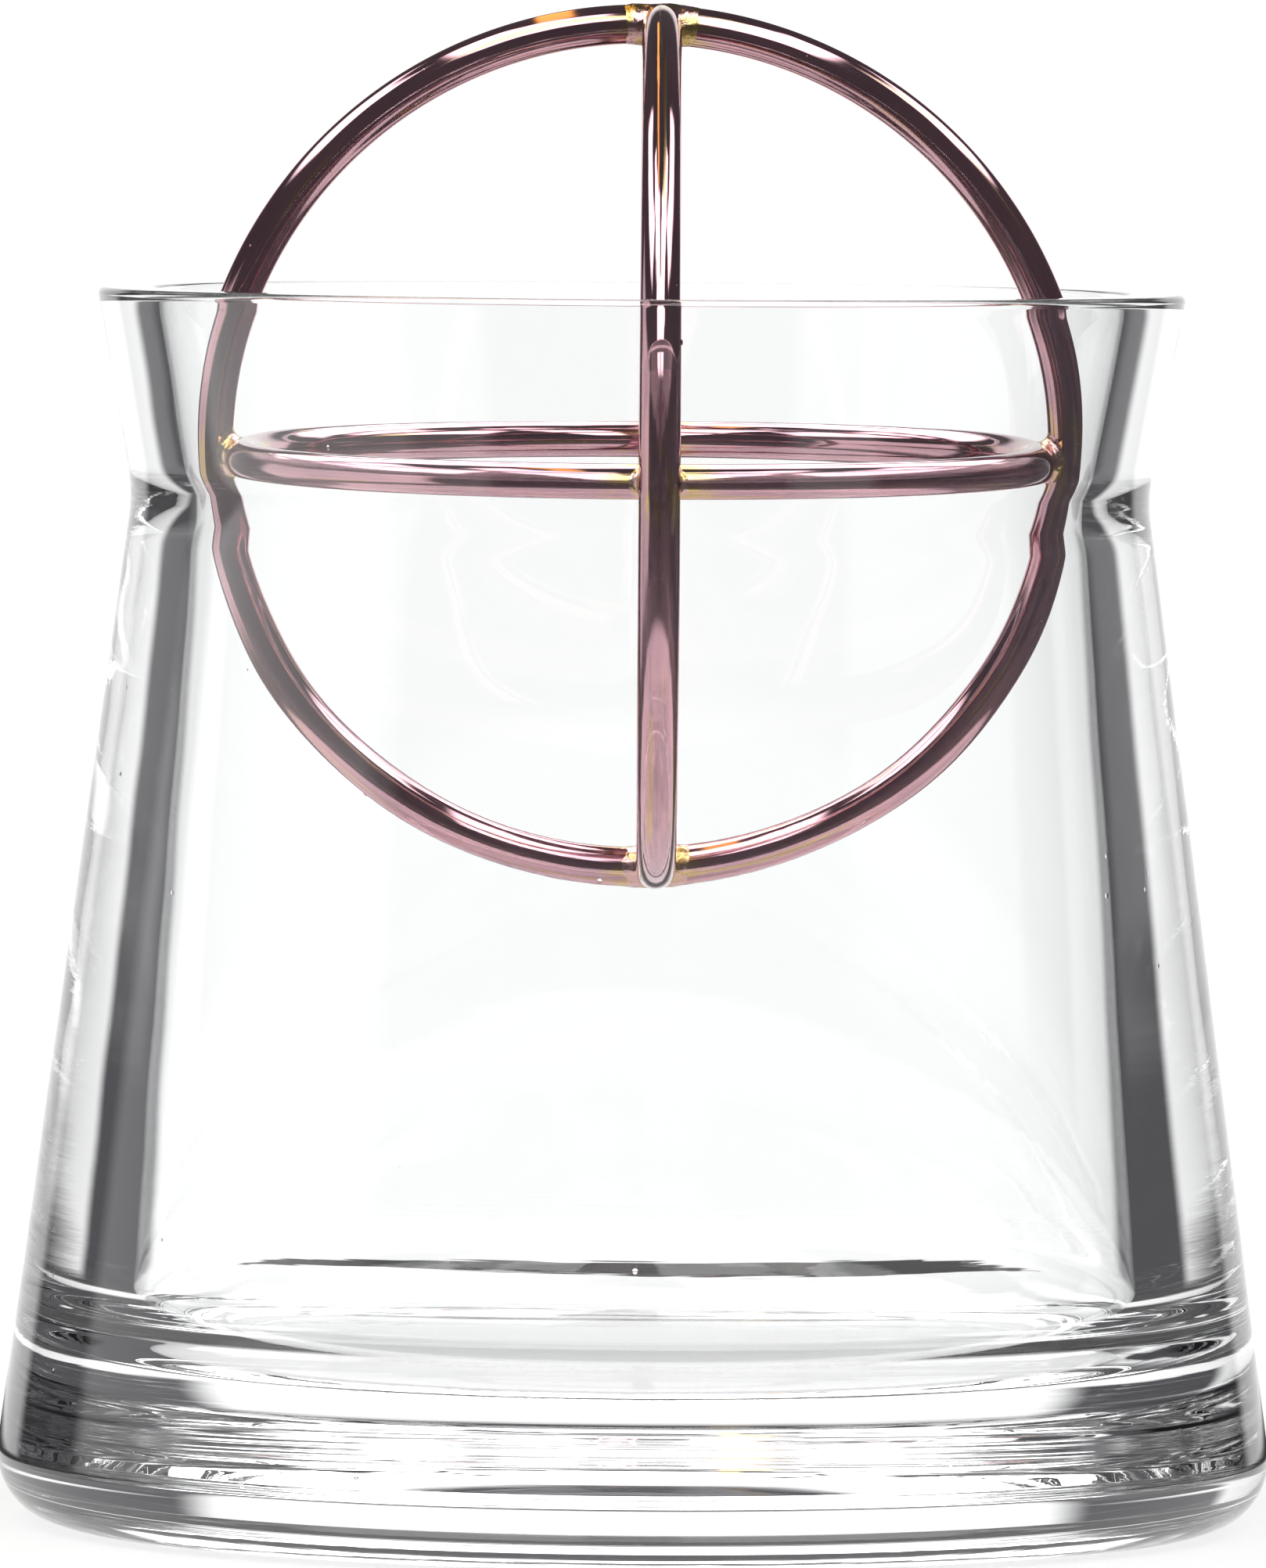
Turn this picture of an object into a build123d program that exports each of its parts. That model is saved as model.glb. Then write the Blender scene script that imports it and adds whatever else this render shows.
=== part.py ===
"""A clear glass vase with a waisted neck, and the wire sphere that stands in the neck and holds flower stems.

The wire sphere is made of five lengths of bright copper-plated rod. One closed hoop stands front to back.
Two side arcs butt on that hoop at the top and at the bottom. A smaller closed belt ring lies level inside them.
A bead of brazing fills the corners at each meeting of two rods.
The sphere is not fastened to the glass. It rests on the inner wall, just above the narrowest part of the neck.

Frame: millimetres, +Z up, origin on the table under the middle of the vase, front of the vase towards -Y.
"""

import os
from math import atan2, cos, sin, sqrt

from build123d import *

# Vase, outer wall
VASE_HEIGHT = 123.7
RIM_RADIUS = 54.6
NECK_HEIGHT = 103.1  # where the two outer cones cross
NECK_RADIUS = 50.9
BASE_RADIUS = 64.8  # where the lower outer cone would reach the table
OUTER_NECK_BLEND = 17.0
FOOT_ROUNDING = 6.9

# Vase, inner wall
MOUTH_RADIUS = 48.7
BORE_NECK_HEIGHT = 100.7  # where the two inner cones cross
BORE_NECK_RADIUS = 44.72
FLOOR_RADIUS = 51.1  # where the lower inner cone would reach the floor
FLOOR_HEIGHT = 15.1
INNER_NECK_BLEND = 25.0
FLOOR_ROUNDING = 8.5
RIM_ROUNDING = 0.7

# Wire sphere
ROD_DIAMETER = 4.0
SPHERE_RADIUS = 45.2  # to the outside of the hoop
HOOP_OFFSET = 1.8  # the hand-set hoop stands this far to the right of the middle of the sphere
SPHERE_NOD = 2.0  # degrees that the sphere, as it was set down, leans forward in the neck
BELT_BITE = 0.4  # how far the belt ring is pressed into the rods it is brazed to
SEAT_GAP = 0.1  # left between rod and glass where the sphere rests
BUTT_BEAD_REACH = 3.7  # bead at a pole, half its width along the rods
BUTT_BEAD_SWELL = 0.3  # how far that bead stands out past the rods
BELT_BEAD_ROUNDING = 1.0  # hollow rounding of the bead between belt ring and rod
BEAD_BLOCK = 14.0  # side of the block of crossing rods that a belt bead is worked out on

ROD_RADIUS = ROD_DIAMETER / 2
HOOP_RADIUS = SPHERE_RADIUS - ROD_RADIUS
BELT_RADIUS = HOOP_RADIUS - ROD_DIAMETER + BELT_BITE


def blend_centre():
    """Radius and height of the centre of the arc that blends the two inner cones at the neck."""
    upper = atan2(MOUTH_RADIUS - BORE_NECK_RADIUS, VASE_HEIGHT - BORE_NECK_HEIGHT)
    lower = atan2(FLOOR_RADIUS - BORE_NECK_RADIUS, BORE_NECK_HEIGHT - FLOOR_HEIGHT)
    half_turn = (upper + lower) / 2
    tilt = (upper - lower) / 2
    reach = INNER_NECK_BLEND / cos(half_turn)
    return BORE_NECK_RADIUS + reach * cos(tilt), BORE_NECK_HEIGHT - reach * sin(tilt)


def resting_height():
    """Height of the middle of the sphere when the rod all but touches the inner wall."""
    blend_radius, blend_height = blend_centre()
    apart = SPHERE_RADIUS + INNER_NECK_BLEND + SEAT_GAP
    return blend_height + sqrt(apart**2 - blend_radius**2)


SPHERE_HEIGHT = resting_height()


def vase_solid():
    """The glass: one closed section turned round the Z axis."""
    corners = [
        (0, 0),
        (BASE_RADIUS, 0),
        (NECK_RADIUS, NECK_HEIGHT),
        (RIM_RADIUS, VASE_HEIGHT),
        (MOUTH_RADIUS, VASE_HEIGHT),
        (BORE_NECK_RADIUS, BORE_NECK_HEIGHT),
        (FLOOR_RADIUS, FLOOR_HEIGHT),
        (0, FLOOR_HEIGHT),
    ]
    blends = [FOOT_ROUNDING, OUTER_NECK_BLEND, RIM_ROUNDING, RIM_ROUNDING, INNER_NECK_BLEND, FLOOR_ROUNDING]
    outline = FilletPolyline(*corners, radius=blends)
    section = make_face(Plane.XZ * (outline + Line(corners[-1], corners[0])))
    return revolve(section, Axis.Z)


def ring(radius, across, shift=0.0):
    """A closed ring of rod round the middle of the sphere, turned so that its own axis points along `across`."""
    middle = Plane(origin=(shift, 0, SPHERE_HEIGHT), z_dir=across)
    return middle * Torus(radius, ROD_RADIUS)


def hoop():
    """The closed hoop that stands front to back, a little to the right of the middle."""
    return ring(HOOP_RADIUS, (1, 0, 0), HOOP_OFFSET)


def side_ring():
    """The ring that both side arcs are cut from."""
    return ring(HOOP_RADIUS, (0, 1, 0))


def side_arc(side):
    """One side arc, from pole to pole, coped to sit against the hoop. side is -1 for left and 1 for right."""
    reach = 2 * SPHERE_RADIUS
    half_space = Box(reach, reach, 2 * reach)
    half_space = Pos(HOOP_OFFSET + side * reach / 2, 0, SPHERE_HEIGHT) * half_space
    return (side_ring() & half_space) - hoop()


def whole_belt():
    """The level ring inside the hoop and arcs, before it is pressed against them."""
    return ring(BELT_RADIUS, (0, 0, 1))


def belt_ring():
    """The level ring, notched where it is pressed against the rods outside it."""
    return whole_belt() - hoop() - side_ring()


def butt_beads():
    """The beads at the two poles, where both side arcs meet the hoop. The top one mirrors the bottom one."""
    swell = (ROD_RADIUS + BUTT_BEAD_SWELL) / BUTT_BEAD_REACH
    blob = scale(Sphere(BUTT_BEAD_REACH), by=(1, 1, swell))
    blob = Pos(HOOP_OFFSET, 0, SPHERE_HEIGHT - HOOP_RADIUS) * blob
    bottom = blob - hoop() - side_ring()
    return {
        "braze_bottom": bottom,
        "braze_top": mirror(bottom, about=Plane.XY.offset(SPHERE_HEIGHT)),
    }


def belt_bead(rod, x, y):
    """The bead round the place (x, y) where the belt ring is pressed into `rod`: a ball rolled along both."""
    corner = Vector(x, y, SPHERE_HEIGHT)
    block = Pos(corner) * Box(BEAD_BLOCK, BEAD_BLOCK, BEAD_BLOCK)
    crossing = (rod & block) + (whole_belt() & block)
    seam = [edge for edge in crossing.edges() if (edge.center() - corner).length < ROD_DIAMETER / 2]
    return fillet(seam, BELT_BEAD_ROUNDING) - rod - whole_belt()


def belt_beads():
    """The four belt beads by name. The right and rear ones are mirror images of the left and front ones."""
    middle = HOOP_RADIUS - (ROD_DIAMETER - BELT_BITE) / 2
    left = belt_bead(side_ring(), -middle, 0)
    front = belt_bead(hoop(), HOOP_OFFSET, -middle)
    return {
        "braze_left": left,
        "braze_right": mirror(left, about=Plane.YZ),
        "braze_front": front,
        "braze_rear": mirror(front, about=Plane.XZ),
    }


def sphere_parts():
    """Every piece of the wire sphere by name, leaning as the sphere was set down."""
    upright = {
        "hoop_front_back": hoop(),
        "arc_left": side_arc(-1),
        "arc_right": side_arc(1),
        "belt_ring": belt_ring(),
        **butt_beads(),
        **belt_beads(),
    }
    middle = Pos(0, 0, SPHERE_HEIGHT)
    nod = middle * Rot(SPHERE_NOD, 0, 0) * middle.inverse()
    return {name: nod * shape for name, shape in upright.items()}


def parts():
    """Every node of the object by name."""
    return {"vase": vase_solid(), **sphere_parts()}


os.makedirs("parts", exist_ok=True)
for name, shape in parts().items():
    export_step(Compound(shape.solids()), f"parts/{name}.step")
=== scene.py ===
"""Looks of the clear glass vase and its rose-gold wire sphere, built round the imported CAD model."""
import math

import bpy
import numpy as np
from mathutils import Matrix, Vector, noise


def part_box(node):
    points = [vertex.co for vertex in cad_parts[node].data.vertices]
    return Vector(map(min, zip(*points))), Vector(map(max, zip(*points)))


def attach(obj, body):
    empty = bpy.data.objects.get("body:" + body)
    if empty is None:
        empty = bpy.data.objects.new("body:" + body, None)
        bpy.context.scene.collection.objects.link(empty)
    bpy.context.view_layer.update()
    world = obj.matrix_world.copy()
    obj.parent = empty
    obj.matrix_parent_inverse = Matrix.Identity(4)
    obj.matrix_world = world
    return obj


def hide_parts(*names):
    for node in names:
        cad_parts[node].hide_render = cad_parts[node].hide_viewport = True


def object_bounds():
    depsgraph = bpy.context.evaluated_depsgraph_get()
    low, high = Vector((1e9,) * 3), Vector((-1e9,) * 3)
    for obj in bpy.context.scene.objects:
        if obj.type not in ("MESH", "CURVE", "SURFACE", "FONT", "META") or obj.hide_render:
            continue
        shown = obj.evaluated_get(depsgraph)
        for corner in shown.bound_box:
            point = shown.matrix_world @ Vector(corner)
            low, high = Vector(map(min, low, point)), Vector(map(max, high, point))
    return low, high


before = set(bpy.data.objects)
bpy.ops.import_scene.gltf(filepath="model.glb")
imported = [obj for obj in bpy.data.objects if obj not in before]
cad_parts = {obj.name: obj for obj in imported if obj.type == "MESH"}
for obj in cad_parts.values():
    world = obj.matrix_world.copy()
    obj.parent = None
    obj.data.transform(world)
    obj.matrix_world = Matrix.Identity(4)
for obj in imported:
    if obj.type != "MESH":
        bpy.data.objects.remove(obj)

CAD_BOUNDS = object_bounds()
MM = 0.001

# Corners (radius, height) of the glass and the radius that rounds each one, in mm, as in the CAD model
GLASS_CORNERS = [
    (64.8, 0.0, 6.9),
    (50.9, 103.1, 17.0),
    (54.6, 123.7, 0.7),
    (48.7, 123.7, 0.7),
    (44.72, 100.7, 25.0),
    (51.1, 15.1, 8.5),
]
RIM_HEIGHT = 123.7
FLOOR_HEIGHT = 15.1
GLASS_TURNS = 360
ARC_STEPS = 24
OUTLINE_STEP = 0.9
OUTER_WAVE, INNER_WAVE = 0.03, 0.06  # how far the slow waves move the wall, in mm
RING_DEPTH = 0.014  # of the rings on the inner floor, in mm
RINGS_FROM, RINGS_TO = 16, 46.5  # radius in mm

BELT_INSET = 3.6 * MM  # from the centre line of the hoop to that of the belt ring
NOD = math.radians(2.0)
RIGHT = np.array((1.0, 0.0, 0.0))
FORE = np.array((0.0, math.cos(NOD), math.sin(NOD)))
UP = np.array((0.0, -math.sin(NOD), math.cos(NOD)))
ROD_SIDES = 48


def make_mesh(name, verts, faces):
    mesh = bpy.data.meshes.new(name)
    mesh.from_pydata(np.asarray(verts, float).tolist(), [], faces)
    mesh.polygons.foreach_set("use_smooth", [True] * len(mesh.polygons))
    mesh.update()
    piece = bpy.data.objects.new(name, mesh)
    bpy.context.scene.collection.objects.link(piece)
    return piece


def grid_faces(rings, sides, closed):
    """Quads between neighbouring rings of points, the last ring joined to the first when closed."""
    faces = []
    for i in range(rings if closed else rings - 1):
        here, there = i * sides, (i + 1) % rings * sides
        for k in range(sides):
            nxt = (k + 1) % sides
            faces.append((here + k, here + nxt, there + nxt, there + k))
    return faces


# ---------------------------------------------------------------- glass

def rounded_outline(corners, start, end):
    """Closely spaced points along a polyline from start to end whose corners are rounded."""
    places = [np.array(start)] + [np.array(corner[:2]) for corner in corners] + [np.array(end)]
    outline = [places[0]]

    def run_to(place):
        begin = outline[-1]
        count = max(1, int(np.linalg.norm(place - begin) / OUTLINE_STEP))
        outline.extend(begin + (place - begin) * k / count for k in range(1, count + 1))

    for before, here, after, corner in zip(places[:-2], places[1:-1], places[2:], corners):
        radius = corner[2]
        towards = (before - here) / np.linalg.norm(before - here)
        away = (after - here) / np.linalg.norm(after - here)
        half = math.acos(towards @ away) / 2
        middle = here + (towards + away) / np.linalg.norm(towards + away) * radius / math.sin(half)
        first = here + towards * radius / math.tan(half) - middle
        last = here + away * radius / math.tan(half) - middle
        begin = math.atan2(first[1], first[0])
        turn = math.atan2(first[0] * last[1] - first[1] * last[0], first @ last)
        run_to(middle + first)
        for t in np.linspace(0, 1, ARC_STEPS)[1:]:
            outline.append(middle + radius * np.array([math.cos(begin + turn * t), math.sin(begin + turn * t)]))
    run_to(places[-1])
    return np.array(outline)


def unevenness(radius, height, angle):
    """Small shifts in mm of the glass outwards and upwards: slow waves of the wall, and rings on the inner floor."""
    inner = np.arange(len(height))[:, None] > np.argmax(height)
    slow = 0.6 * np.sin(3 * angle + 0.05 * height + 0.7) + 0.4 * np.sin(5 * angle - 0.09 * height + 2.1)
    slow = slow + 0.5 * np.sin(0.21 * height + 2.0 * np.sin(angle + 0.4))
    slow = slow + 0.25 * np.sin(0.47 * height + 1.3 * np.sin(2 * angle))
    on_wall = np.clip((height - FLOOR_HEIGHT - 7) / 6, 0, 1) * np.clip((RIM_HEIGHT - 3 - height) / 8, 0, 1)
    outwards = np.where(inner, INNER_WAVE, OUTER_WAVE) * slow * on_wall
    rings = np.sin(2.9 * radius + 0.5 * np.sin(2 * angle)) + 0.6 * np.sin(4.7 * radius + 0.4 * np.sin(3 * angle))
    on_floor = inner * np.clip((radius - RINGS_FROM) / 18, 0, 1) * np.clip((RINGS_TO - radius) / 3, 0, 1)
    upwards = RING_DEPTH * rings * on_floor * (height < FLOOR_HEIGHT + 9)
    return outwards, upwards


def glass_piece():
    """The vase turned from its outline, with the faint unevenness of blown glass."""
    outline = rounded_outline(GLASS_CORNERS, (0, 0), (0, FLOOR_HEIGHT))
    radius, height = outline[1:-1, :1], outline[1:-1, 1:]
    angle = (np.arange(GLASS_TURNS) * 2 * np.pi / GLASS_TURNS)[None, :]
    outwards, upwards = unevenness(radius, height, angle)
    radius, height = radius + outwards, height + upwards
    verts = np.stack([radius * np.cos(angle), radius * np.sin(angle), height + 0 * angle], axis=-1)
    rows = len(verts)
    poles = [[0, 0, 0], [0, 0, FLOOR_HEIGHT]]
    verts = np.vstack([verts.reshape(-1, 3), poles]) * MM
    faces = grid_faces(rows, GLASS_TURNS, False)
    last = (rows - 1) * GLASS_TURNS
    for k in range(GLASS_TURNS):
        nxt = (k + 1) % GLASS_TURNS
        faces.append((len(verts) - 2, nxt, k))
        faces.append((len(verts) - 1, last + k, last + nxt))
    return make_mesh("glass", verts, faces)


# ---------------------------------------------------------------- wire sphere

def bent_rod(name, centre, radius, right, up, start=0.0, end=2 * math.pi, steps=360, thickness=None):
    """A rod bent round a circle in the plane of right and up, with its grain kept as an attribute.

    thickness, where given, is a function of the place along (0 to 1) and round (an angle) the rod.
    """
    closed = end - start > 2 * math.pi - 1e-6
    across = np.cross(right, up)
    along = np.linspace(start, end, steps + 1)[:steps if closed else steps + 1]
    around = np.arange(ROD_SIDES) * 2 * np.pi / ROD_SIDES
    if thickness is None:
        rod = np.full((len(along), ROD_SIDES), ROD)
    else:
        rod = np.array([[thickness(t, a) for a in around] for t in np.linspace(0, 1, len(along))])
    spoke = (np.cos(along)[:, None] * right + np.sin(along)[:, None] * up)[:, None, :]
    out = np.cos(around)[None, :, None] * spoke + np.sin(around)[None, :, None] * across
    verts = (centre + radius * spoke + rod[..., None] * out).reshape(-1, 3)
    faces = grid_faces(len(along), ROD_SIDES, closed)
    if not closed:
        faces.append(tuple(range(ROD_SIDES)))
        faces.append(tuple(range((len(along) - 1) * ROD_SIDES, len(along) * ROD_SIDES))[::-1])
    piece = make_mesh(name, verts, faces)
    grain = np.empty((len(along), ROD_SIDES, 3))
    grain[..., 0] = ROD / MM * np.cos(around)
    grain[..., 1] = ROD / MM * np.sin(around)
    grain[..., 2] = (radius / MM * (along - start))[:, None]
    piece.data.attributes.new("grain", "FLOAT_VECTOR", "POINT").data.foreach_set("vector", grain.ravel())
    return piece


def lumpy_sleeve(seed):
    """Thickness of the hand-laid braze round a pole: swelling in the middle, sinking into the rod at both ends."""
    def thickness(t, a):
        lump = noise.noise(Vector((5.0 * t, 1.3 * math.cos(a), 1.3 * math.sin(a) + seed)))
        fine = noise.noise(Vector((14.0 * t, 3.5 * math.cos(a), 3.5 * math.sin(a) - seed)))
        swell = math.sin(math.pi * t) ** 0.6
        return ROD * 0.96 + swell * (0.22 + 0.16 * lump + 0.08 * fine) * MM
    return thickness


hoop_low, hoop_high = (np.array(corner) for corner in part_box("hoop_front_back"))
ROD = (hoop_high[0] - hoop_low[0]) / 2
HOOP_X = (hoop_high[0] + hoop_low[0]) / 2
HOOP_RADIUS = (hoop_high[2] - hoop_low[2]) / 2 - ROD
CENTRE = np.array([0.0, 0.0, (hoop_high[2] + hoop_low[2]) / 2])
LEAN = math.asin(HOOP_X / HOOP_RADIUS)  # from the top of the side ring to the hoop, as an angle
SLEEVE = 3.9 * MM / HOOP_RADIUS  # half the length of a braze sleeve, as an angle
HALF_TURN = math.pi / 2

glass = glass_piece()
hoop = bent_rod("hoop", CENTRE + [HOOP_X, 0, 0], HOOP_RADIUS, FORE, UP, HALF_TURN, 5 * HALF_TURN)
belt = bent_rod("belt", CENTRE, HOOP_RADIUS - BELT_INSET, RIGHT, FORE)
arc_left = bent_rod("side_arc_left", CENTRE, HOOP_RADIUS, RIGHT, UP, HALF_TURN - LEAN, 3 * HALF_TURN + LEAN, 200)
arc_right = bent_rod("side_arc_right", CENTRE, HOOP_RADIUS, RIGHT, UP, LEAN - HALF_TURN, HALF_TURN - LEAN, 200)
sleeve_top = bent_rod("sleeve_top", CENTRE, HOOP_RADIUS, RIGHT, UP,
                      HALF_TURN - LEAN - SLEEVE, HALF_TURN - LEAN + SLEEVE, 40, lumpy_sleeve(3.7))
sleeve_bottom = bent_rod("sleeve_bottom", CENTRE, HOOP_RADIUS, RIGHT, UP,
                         3 * HALF_TURN + LEAN - SLEEVE, 3 * HALF_TURN + LEAN + SLEEVE, 40, lumpy_sleeve(8.2))
RODS = ((hoop, "hoop_front_back"), (belt, "belt_ring"), (arc_left, "arc_left"), (arc_right, "arc_right"))
SLEEVES = ((sleeve_top, "braze_top"), (sleeve_bottom, "braze_bottom"))
FILLETS = ("braze_left", "braze_right", "braze_front", "braze_rear")

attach(glass, "vase")
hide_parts("vase")
for pieces, slot in ((RODS, "rose_gold_rod"), (SLEEVES, "brass_braze")):
    for piece, node in pieces:
        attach(piece, "wire_sphere")
        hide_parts(node)


# ---------------------------------------------------------------- materials

class Shading:
    """Short names for making and joining the nodes of one node tree."""

    def __init__(self, tree):
        self.nodes, self.links = tree.nodes, tree.links

    def join(self, node, **values):
        """Set or link inputs of a node, given by name with _ for a space."""
        for name, value in values.items():
            self.put(node.inputs[name.replace("_", " ")], value)
        return node

    def put(self, socket, value):
        if isinstance(value, bpy.types.NodeSocket):
            self.links.new(value, socket)
        else:
            socket.default_value = value

    def math(self, operation, *values):
        node = self.nodes.new("ShaderNodeMath")
        node.operation = operation
        for socket, value in zip(node.inputs, values):
            self.put(socket, value)
        return node.outputs[0]

    def times(self, *values):
        result = values[0]
        for value in values[1:]:
            result = self.math("MULTIPLY", result, value)
        return result

    def negated(self, value):
        return self.math("SUBTRACT", 1.0, value)

    def most(self, *values):
        result = values[0]
        for value in values[1:]:
            result = self.math("MAXIMUM", result, value)
        return result

    def axes(self, vector):
        node = self.nodes.new("ShaderNodeSeparateXYZ")
        self.put(node.inputs[0], vector)
        return node.outputs

    def step(self, value, low, high, start=0.0, end=1.0):
        """Smoothly from start to end while value goes from low to high."""
        node = self.nodes.new("ShaderNodeMapRange")
        node.interpolation_type = "SMOOTHSTEP"
        self.join(node, Value=value, From_Min=low, From_Max=high, To_Min=start, To_Max=end)
        return node.outputs["Result"]

    def between(self, value, low, high, soft):
        """1 while value is between low and high, 0 outside, with soft edges."""
        return self.times(self.step(value, low, low + soft), self.step(value, high - soft, high, 1.0, 0.0))

    def paths(self):
        """1 for a ray mirrored in the wire, within the glass, deep in it, right through it, and turned back by it."""
        path = self.nodes.new("ShaderNodeLightPath").outputs
        crossings, mirrorings = path["Transmission Depth"], path["Glossy Depth"]
        mirrored = self.times(self.step(crossings, 0.2, 0.8, 1.0, 0.0), self.negated(path["Is Camera Ray"]))
        within = self.between(crossings, 0.2, 2.8, 0.3)
        deep = self.times(within, self.step(mirrorings, 1.2, 1.8))
        through = self.step(crossings, 2.2, 2.8)
        turned = self.times(self.step(crossings, 0.2, 0.8), self.step(mirrorings, 0.2, 0.8))
        return mirrored, within, deep, through, turned

    def mix(self, factor, first, second):
        node = self.nodes.new("ShaderNodeMix")
        node.data_type = "RGBA"
        for socket, value in ((node.inputs[0], factor), (node.inputs[6], first), (node.inputs[7], second)):
            self.put(socket, (*value, 1) if isinstance(value, tuple) else value)
        return node.outputs[2]

    def scaled(self, vector, scale):
        node = self.nodes.new("ShaderNodeVectorMath")
        node.operation = "MULTIPLY"
        self.put(node.inputs[0], vector)
        self.put(node.inputs[1], scale)
        return node.outputs["Vector"]

    def noise(self, vector, scale, detail=2.0, roughness=0.5):
        node = self.nodes.new("ShaderNodeTexNoise")
        self.join(node, Vector=self.scaled(vector, scale), Scale=1.0, Detail=detail, Roughness=roughness)
        return node.outputs[0]

    def specks(self, vector, scale, size, share):
        """Rare small round spots: 1 in the middle of a spot, 0 between the spots."""
        node = self.nodes.new("ShaderNodeTexVoronoi")
        self.join(node, Vector=self.scaled(vector, scale), Scale=1.0)
        chosen = self.step(self.axes(node.outputs["Color"])[0], share, share + 0.01, 1.0, 0.0)
        return self.times(self.step(node.outputs["Distance"], 0.0, size, 1.0, 0.0), chosen)

    def distance(self, vector, place):
        node = self.nodes.new("ShaderNodeVectorMath")
        node.operation = "DISTANCE"
        self.put(node.inputs[0], vector)
        self.put(node.inputs[1], tuple(place))
        return node.outputs["Value"]

    def bump(self, height, depth):
        node = self.nodes.new("ShaderNodeBump")
        self.join(node, Height=height, Distance=depth, Strength=1.0)
        return node.outputs["Normal"]

    def place(self):
        return self.nodes.new("ShaderNodeTexCoord").outputs["Object"]


def new_material(name):
    material = bpy.data.materials.new(name)
    material.use_nodes = True
    return material, Shading(material.node_tree), material.node_tree.nodes["Principled BSDF"]


def glass_material():
    """Clear glass with fine level lines near the base, a few seeds and a breath of tint."""
    material, do, shader = new_material("clear_glass")
    place = do.place()
    above = do.axes(place)[2]
    calm_base = do.step(above, 0.012, 0.022, 0.1, 1.0)
    low_down = do.times(do.step(above, 0.030, 0.075, 1.0, 0.12), calm_base)
    lines = do.noise(place, (22, 22, 620), 3.0, 0.6)
    waves = do.noise(place, (40, 40, 90), 1.0)
    seeds = do.specks(place, (260, 260, 260), 0.09, 0.10)
    height = do.math("ADD", do.times(lines, low_down), do.times(waves, 0.9, calm_base))
    height = do.math("ADD", height, do.times(seeds, -3.0))
    tint = do.mix(do.noise(place, (18, 18, 40)), (0.975, 0.985, 0.982), (0.995, 0.998, 0.998))
    do.join(shader, Base_Color=tint, Roughness=0.0, IOR=1.5, Transmission_Weight=1.0, Normal=do.bump(height, 5e-6))
    return material


def joint_places():
    names = [node for _, node in SLEEVES] + list(FILLETS)
    return [(np.array(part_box(name)[0]) + np.array(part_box(name)[1])) / 2 for name in names]


def near_joints(do, place, reach):
    """1 at a brazed joint, falling to 0 at the given reach from it."""
    nearest = 1.0
    for joint in joint_places():
        nearest = do.math("MINIMUM", do.distance(place, joint), nearest)
    return do.step(nearest, 0.4 * reach, reach, 1.0, 0.0)


def rose_gold_material():
    """Bright copper-pink plating over drawn rod: long streaks, brassy where it is thin, small pits."""
    material, do, shader = new_material("rose_gold")
    grain = do.nodes.new("ShaderNodeAttribute")
    grain.attribute_name = "grain"
    grain = grain.outputs["Vector"]
    streaks = do.noise(grain, (2.6, 2.6, 0.05), 3.0, 0.6)
    patches = do.noise(grain, (0.5, 0.5, 0.07), 2.0)
    worn = do.step(do.noise(grain, (1.7, 1.7, 0.035), 1.0), 0.66, 0.72)
    pits = do.specks(grain, (0.9, 0.9, 0.9), 0.10, 0.16)
    colour = do.mix(do.step(patches, 0.35, 0.65), (0.61, 0.355, 0.385), (0.50, 0.30, 0.345))
    colour = do.mix(do.times(do.step(streaks, 0.52, 0.60), 0.45), colour, (0.42, 0.27, 0.30))
    heat = do.times(near_joints(do, do.place(), 0.007), do.step(do.noise(grain, (1.0, 1.0, 0.2)), 0.42, 0.60))
    brassy = do.math("MAXIMUM", heat, do.times(worn, 0.85))
    colour = do.mix(brassy, colour, (0.60, 0.43, 0.19))
    roughness = do.math("ADD", do.times(patches, 0.07), do.math("ADD", 0.02, do.times(worn, 0.16)))
    roughness = do.math("ADD", roughness, do.times(pits, 0.4))
    height = do.math("SUBTRACT", streaks, do.times(pits, 2.5))
    do.join(shader, Base_Color=colour, Metallic=1.0, Roughness=roughness, Normal=do.bump(height, 1.2e-5))
    return material


def braze_material():
    """Plated brazing: golden in the corners, pink on the swellings, rough where the metal froze."""
    material, do, shader = new_material("golden_braze")
    place = do.place()
    broad = do.noise(place, (420, 420, 420), 2.0)
    fine = do.noise(place, (1900, 1900, 1900), 3.0, 0.6)
    colour = do.mix(do.step(broad, 0.40, 0.58), (0.60, 0.44, 0.17), (0.64, 0.40, 0.38))
    roughness = do.step(fine, 0.3, 0.7, 0.07, 0.26)
    height = do.math("ADD", do.times(broad, 2.0), fine)
    do.join(shader, Base_Color=colour, Metallic=1.0, Roughness=roughness, Normal=do.bump(height, 6e-5))
    return material


glass.data.materials.append(glass_material())
rose_gold, golden_braze = rose_gold_material(), braze_material()
for piece, _ in RODS:
    piece.data.materials.append(rose_gold)
for piece, _ in SLEEVES:
    piece.data.materials.append(golden_braze)
for name in FILLETS:
    for material_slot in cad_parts[name].material_slots:
        material_slot.material = golden_braze


# ---------------------------------------------------------------- table, light and camera

TABLE_RADIUS = 0.3
TABLE_DROP = 0.0002
STRIP = (0.0860, 0.0970)  # of painted shade on the table, seen through the glass: from front to back, in metres behind the middle of the vase


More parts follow.
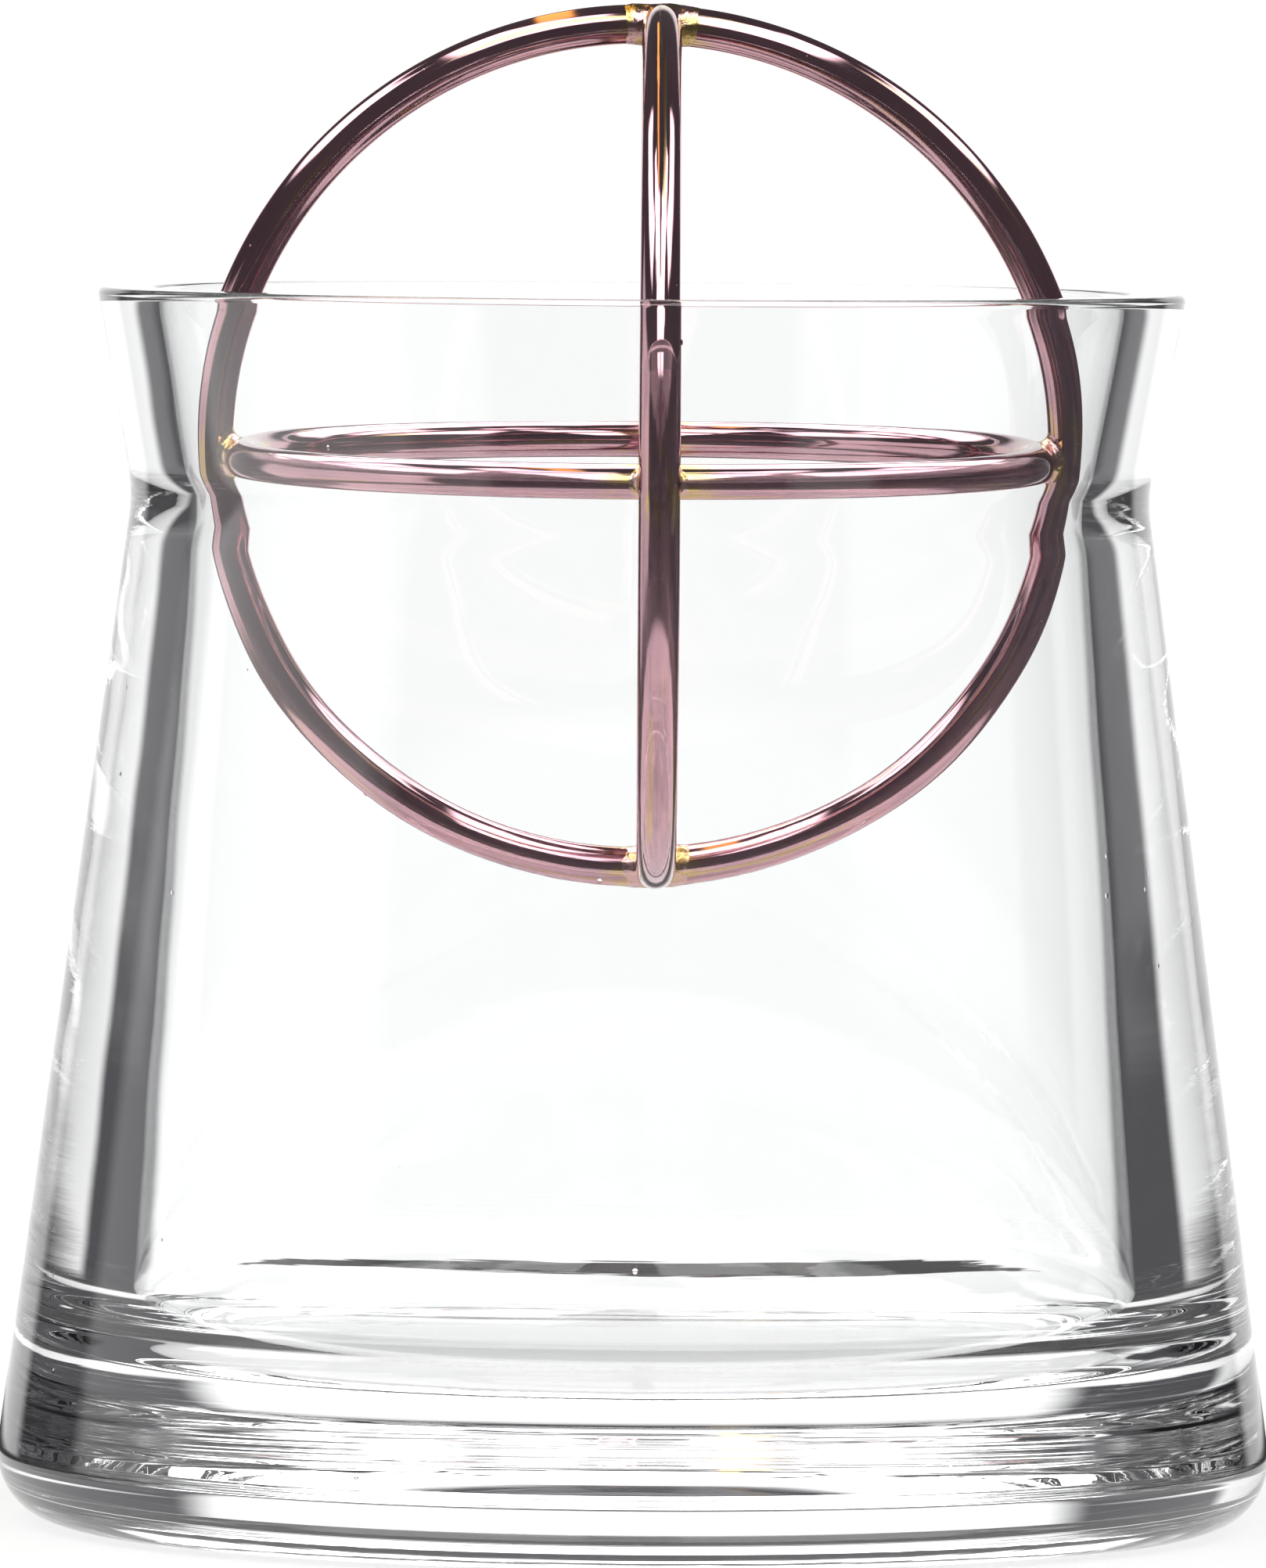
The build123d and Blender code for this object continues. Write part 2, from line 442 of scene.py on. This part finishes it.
def table():
    """A round pale light table that fades out into the white surround.

    Painted shade: rays that come by way of the wire or the glass find it painted darker at the foot (a painted
    contact shadow), far out (painted dark reflections), in a painted dark strip behind the vase, and everywhere after
    two mirrorings within the glass. The painted strip and the painted foot shadow darken only for rays that have just
    left the glass.
    """
    z = CAD_BOUNDS[0][2] - TABLE_DROP
    steps = 96
    turns = [2 * math.pi * k / steps for k in range(steps)]
    edge = [(TABLE_RADIUS * math.cos(turn), TABLE_RADIUS * math.sin(turn), z) for turn in turns]
    piece = make_mesh("table", edge, [tuple(range(steps))])
    material, do, shader = new_material("pale_table")
    place = do.place()
    away = do.distance(place, (0, 0, z))
    x, y, _ = do.axes(place)
    mirrored, within, deep, through, turned = do.paths()
    run = do.nodes.new("ShaderNodeLightPath").outputs["Ray Length"]
    reach = do.math("MINIMUM", do.math("ADD", do.times(x, x, 7.5), 0.040), 0.055)
    just_out = do.step(do.math("SUBTRACT", reach, run), -0.002, 0.002)
    # painted shade: a dark strip behind the vase, seen only through the glass by rays that have just left it
    painted_shade_strip = do.times(do.between(y, *STRIP, 0.001), just_out, through)
    # painted contact shadow round the foot, seen only by rays within the glass that have just left it
    painted_foot_shadow = do.times(do.step(away, 0.057, 0.060), do.step(run, 0.050, 0.060, 1.0, 0.0), within)
    # painted dark reflections: the table far out is dark only for rays mirrored in the wire or turned back by the
    # glass
    painted_dark_reflection = do.times(do.step(away, 0.12, 0.14), do.most(mirrored, turned))
    # all the painted shade, with the whole table painted dark for rays mirrored twice within the glass (deep)
    shade = do.most(painted_shade_strip, painted_foot_shadow, deep, painted_dark_reflection)
    speckle = do.noise(place, (700, 700, 700), 2.0)
    # painted shade lowers both the colour and the glow of the light table
    bright = do.times(do.negated(do.times(shade, 0.96)), do.step(speckle, 0.2, 0.8, 0.73, 0.75))
    do.join(shader, Base_Color=do.mix(shade, (0.25, 0.25, 0.25), (0.04, 0.04, 0.04)), Roughness=0.9)
    do.join(shader, Specular_IOR_Level=0.0, Emission_Color=(1, 1, 1, 1), Emission_Strength=bright)
    do.join(shader, Alpha=do.step(away, 0.16, 0.26, 1.0, 0.0))
    piece.data.materials.append(material)


DARK = (0.085, 0.084, 0.092)  # the room
WALL = (1.12, 1.12, 1.12)  # the white surround
KEY = (3.6, 3.6, 3.6)  # the soft boxes
WARM = (2.4, 1.45, 0.35)  # the warm strip overhead


def world_light():
    """White surround behind, to the left and below, a dark room elsewhere, soft boxes and a warm strip overhead.

    Angles are in degrees. x, y and z are the direction that is looked in.
    """
    world = bpy.data.worlds.new("studio")
    bpy.context.scene.world = world
    world.use_nodes = True
    do = Shading(world.node_tree)
    x, y, z = do.axes(do.nodes.new("ShaderNodeTexCoord").outputs["Generated"])
    flat = do.math("SQRT", do.most(do.negated(do.times(z, z)), 1e-6))
    ahead, right = do.math("DIVIDE", y, flat), do.math("DIVIDE", x, flat)
    back, left = do.times(ahead, -1.0), do.times(right, -1.0)
    elevation = do.math("DEGREES", do.math("ARCSINE", z))

    def sector(along, half_width):
        return do.step(along, math.cos(math.radians(half_width + 3)), math.cos(math.radians(half_width - 3)))

    wall = do.times(do.most(sector(ahead, 31), sector(left, 31)), do.step(elevation, 14.0, 20.0, 1.0, 0.0))
    far_side = do.negated(do.most(sector(back, 35), sector(right, 35)))
    mirrored, within, _, through, turned = do.paths()
    under = do.times(do.step(elevation, -11.5, -8.5, 1.0, 0.0), far_side, do.negated(mirrored), do.negated(turned))
    table_far = do.times(do.between(elevation, -30.0, -11.0, 2.0), far_side, mirrored)
    white = do.most(wall, under, table_far)

    high = do.most(z, 0.01)
    sideways, depth = do.math("DIVIDE", x, high), do.math("DIVIDE", y, high)
    aside = do.math("ABSOLUTE", sideways)
    wings = do.times(do.step(aside, 0.07, 0.10), do.between(elevation, 22.0, 72.0, 3.0))
    front = do.times(do.step(y, -0.02, 0.02, 1.0, 0.0), do.step(aside, 0.50, 0.56, 1.0, 0.0),
                     do.most(wings, do.between(elevation, 29.0, 49.0, 3.0)))
    sides = do.times(sector(do.math("ABSOLUTE", right), 34), do.between(elevation, 34.0, 56.0, 4.0))
    overhead = do.times(do.most(within, through), sector(ahead, 50), do.between(elevation, 26.0, 82.0, 4.0))
    lamp = do.most(front, sides, overhead)
    beam = do.times(do.between(sideways, -0.27, -0.16, 0.02), do.between(depth, -0.32, 1.7, 0.1))
    beam = do.times(beam, do.step(z, 0.02, 0.05))

    colour = do.mix(white, DARK, WALL)
    colour = do.mix(beam, colour, WARM)
    colour = do.mix(lamp, colour, KEY)
    do.join(do.nodes["Background"], Color=colour, Strength=1.0)


LENS = 431.1  # on a 36 mm sensor
PITCH, ROLL = 0.0437, 0.0080
STAND = (-0.0005, -1.8816, 0.03274)  # x, y and height above the rim, in metres
ENOUGH_BOUNCES = 28  # for the light to find its way out of the thick base


def camera():
    """A long lens a little above the rim, tipped down at the vase."""
    data = bpy.data.cameras.new("camera")
    data.sensor_width = 36.0
    data.lens = LENS
    data.clip_end = 200.0
    piece = bpy.data.objects.new("camera", data)
    bpy.context.scene.collection.objects.link(piece)
    turn = Matrix.Rotation(math.pi / 2 - PITCH, 4, "X") @ Matrix.Rotation(ROLL, 4, "Z")
    piece.location = Vector(STAND) + Vector((0, 0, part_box("vase")[1][2]))
    piece.rotation_euler = turn.to_euler()
    bpy.context.scene.camera = piece


table()
world_light()
camera()
bpy.context.scene.view_settings.view_transform = "Standard"
for name in ("max_bounces", "transmission_bounces", "glossy_bounces"):
    setattr(bpy.context.scene.cycles, name, ENOUGH_BOUNCES)
